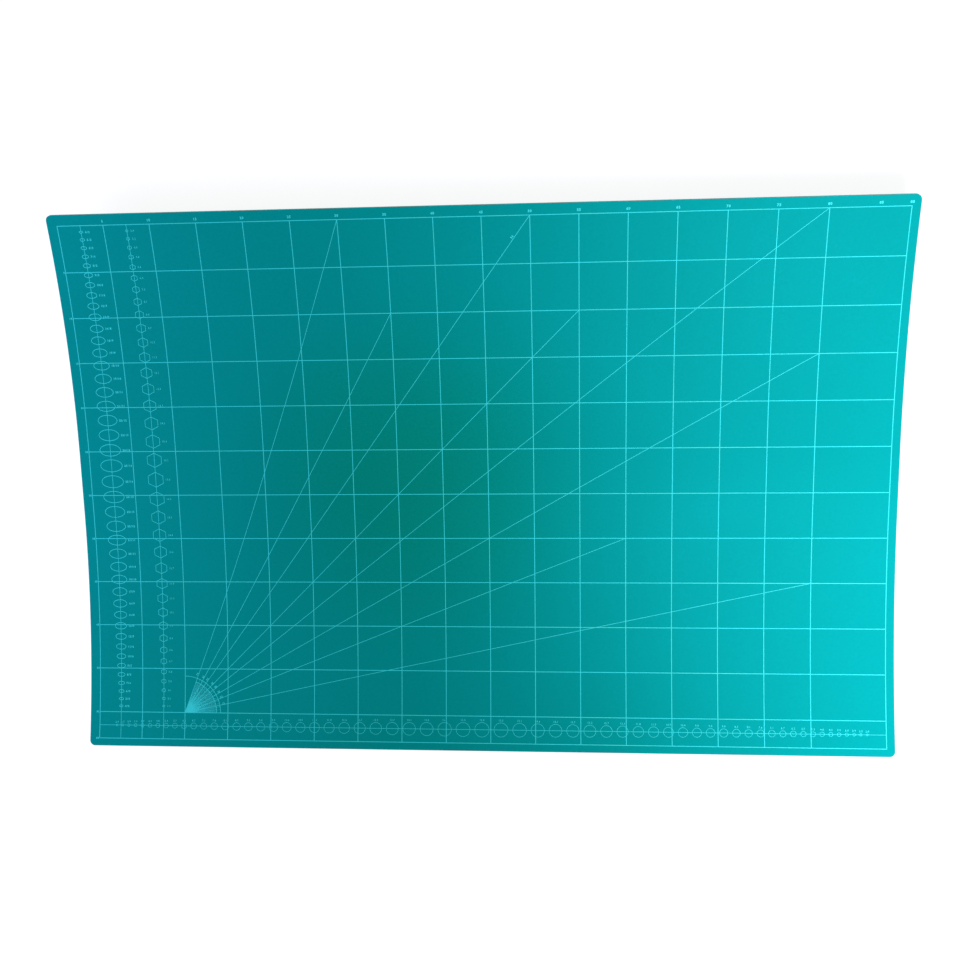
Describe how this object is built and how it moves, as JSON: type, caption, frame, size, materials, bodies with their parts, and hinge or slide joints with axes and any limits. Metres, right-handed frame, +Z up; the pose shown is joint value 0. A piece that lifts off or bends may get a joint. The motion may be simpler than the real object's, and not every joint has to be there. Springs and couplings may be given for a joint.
{
  "type": "craft cutting mat",
  "caption": "Self-healing A1 cutting mat: laminated sheet with rounded corners, printed square grid and angle fan, lying on its middle with both long edges curled up.",
  "frame": {"origin": "on the resting face, under the centre of the sheet", "axes": "+X along the mat, from the border where the grid starts to the open strip; +Y across it, towards the edge where the grid starts; +Z up, out of the printed side"},
  "size_m": [0.9, 0.5942, 0.0392],
  "materials": {
    "skin": "soft satin PVC, faintly grained, that closes again after a cut",
    "inner_ply": "milky soft PVC, seen only at the cut edge",
    "core": "stiff grey PVC, seen only at the cut edge",
    "ink": "thin pale cyan screen print"
  },
  "bodies": {
    "root": {"bottom_skin": "skin", "lower_inner_ply": "inner_ply", "rigid_core": "core", "upper_inner_ply": "inner_ply", "top_skin": "skin", "printed_grid": "ink", "printed_angle_fan": "ink"}
  },
  "joints": []
}
